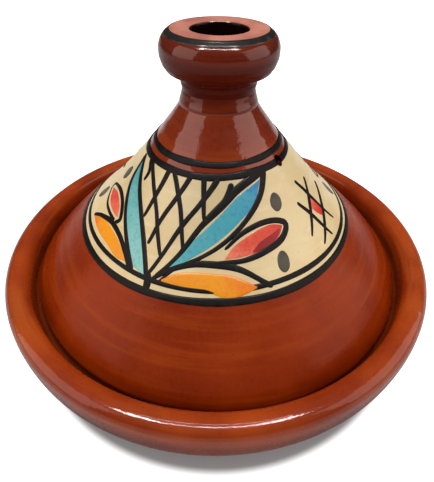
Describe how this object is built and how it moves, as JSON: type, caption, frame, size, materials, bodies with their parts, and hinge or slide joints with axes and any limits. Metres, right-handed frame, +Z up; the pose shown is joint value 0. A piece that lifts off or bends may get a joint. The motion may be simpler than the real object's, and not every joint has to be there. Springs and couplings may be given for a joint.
{
  "type": "tagine pot",
  "caption": "Round clay cooking dish with a rounded rim and a tall conical lid with a hollow knob; the lid lifts straight off its ledge.",
  "frame": {"origin": "centre of the dish's foot, at the level of the table", "axes": "+Z up along the axis that every piece is turned about; +X and +Y are free; -Y faces the viewer"},
  "size_m": [0.27, 0.27, 0.1825],
  "materials": {
    "dish_glazed_clay": "clear-glazed red earthenware",
    "lid_glazed_clay": "clear-glazed red earthenware with a painted slip band",
    "knob_glazed_clay": "clear-glazed red earthenware, bare on its top face"
  },
  "bodies": {
    "dish": {"dish": "dish_glazed_clay"},
    "lid": {"lid_cone": "lid_glazed_clay", "lid_knob": "knob_glazed_clay"}
  },
  "joints": [
    {"name": "lid_lift", "type": "slide", "parent": "dish", "child": "lid", "axis": [0, 0, 1], "range_m": [0, 0.2]}
  ]
}
